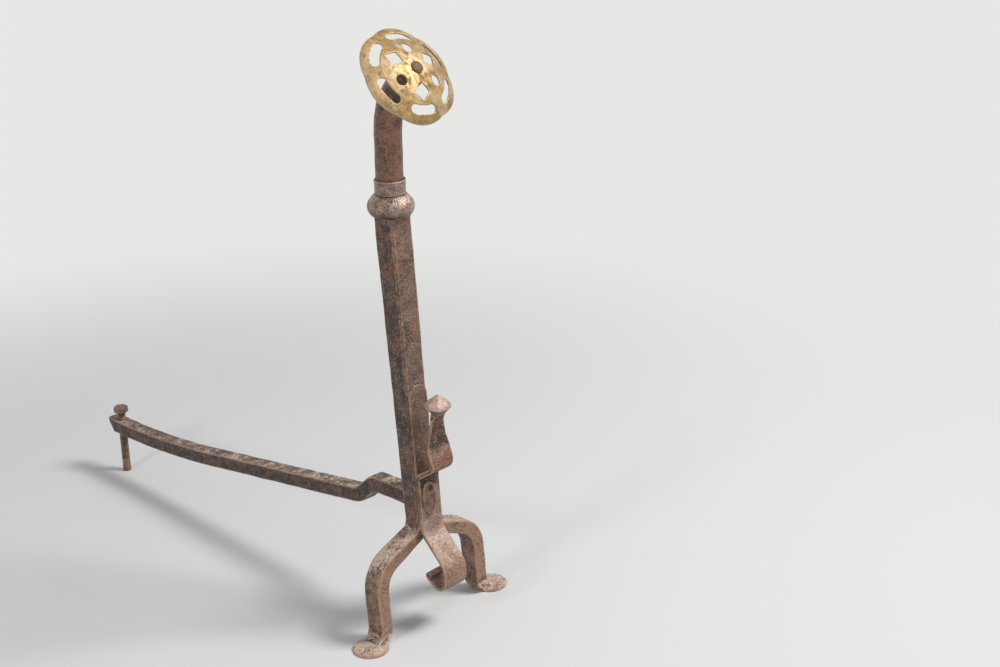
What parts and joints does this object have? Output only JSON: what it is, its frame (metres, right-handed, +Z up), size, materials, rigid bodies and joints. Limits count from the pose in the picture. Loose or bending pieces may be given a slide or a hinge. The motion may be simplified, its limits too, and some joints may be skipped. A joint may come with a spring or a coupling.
{
  "type": "andiron",
  "caption": "Forged iron andiron with split penny feet, a spit hook and scroll in front, a cranked log bar behind on a levelling bolt, and a pierced domed brass disc on a bent neck.",
  "frame": {"origin": "middle of the andiron's whole box in plan, on the floor", "axes": "+Z is up, -Y is the front where the hook, scroll and disc look, the log bar runs back along +Y, X is across the hearth"},
  "size_m": [0.1988, 0.5526, 0.562],
  "materials": {
    "wrought_iron": "forged iron with a thin brown rust film, satin to matt",
    "aged_brass": "pale aged brass, matt",
    "rivet_iron": "worn forged iron, satin",
    "bolt_steel": "heat-stained steel, satin"
  },
  "bodies": {
    "frame": {"upright_post": "wrought_iron", "right_leg": "wrought_iron", "left_leg": "wrought_iron", "front_strap": "wrought_iron", "billet_bar": "wrought_iron", "hook_knob": "wrought_iron", "collar_ring": "wrought_iron", "neck_sleeve": "wrought_iron", "curved_neck": "wrought_iron", "brass_disc": "aged_brass", "disc_rivet": "rivet_iron"},
    "bolt": {"levelling_bolt": "bolt_steel"}
  },
  "joints": [
    {"name": "bolt_travel", "type": "slide", "parent": "frame", "child": "bolt", "axis": [0, 0, 1], "range_m": [-0.0085, 0.045]}
  ]
}
